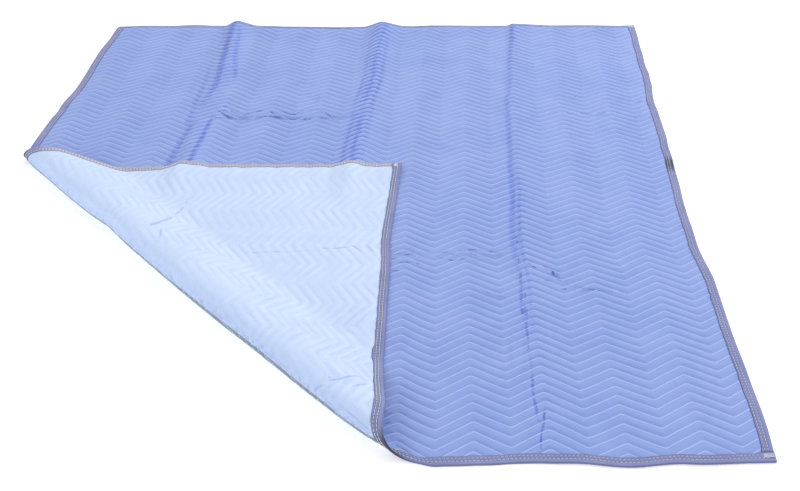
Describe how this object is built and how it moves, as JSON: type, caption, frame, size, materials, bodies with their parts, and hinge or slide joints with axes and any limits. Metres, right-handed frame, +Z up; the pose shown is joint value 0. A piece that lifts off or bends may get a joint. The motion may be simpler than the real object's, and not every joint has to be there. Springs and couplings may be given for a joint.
{
  "type": "quilted moving blanket",
  "caption": "Quilted moving blanket laid out flat on the floor, edged with woven binding, one corner turned over to show its pale backing.",
  "frame": {"origin": "centre of the bounding box, on the floor that the blanket lies on", "axes": "+Y from the near edge to the far edge, along the blanket's length; +X to the right; +Z up"},
  "size_m": [1.839, 2.049, 0.0665],
  "materials": {
    "blue_face": "matt woven cloth, chevron quilted",
    "pale_backing": "matt woven cloth, chevron quilted",
    "grey_binding": "matt woven tape with white stitching"
  },
  "bodies": {
    "root": {"quilted_face": "blue_face", "quilted_back": "pale_backing", "binding_near": "grey_binding", "binding_far": "grey_binding", "binding_left": "grey_binding", "binding_right": "grey_binding"}
  },
  "joints": []
}
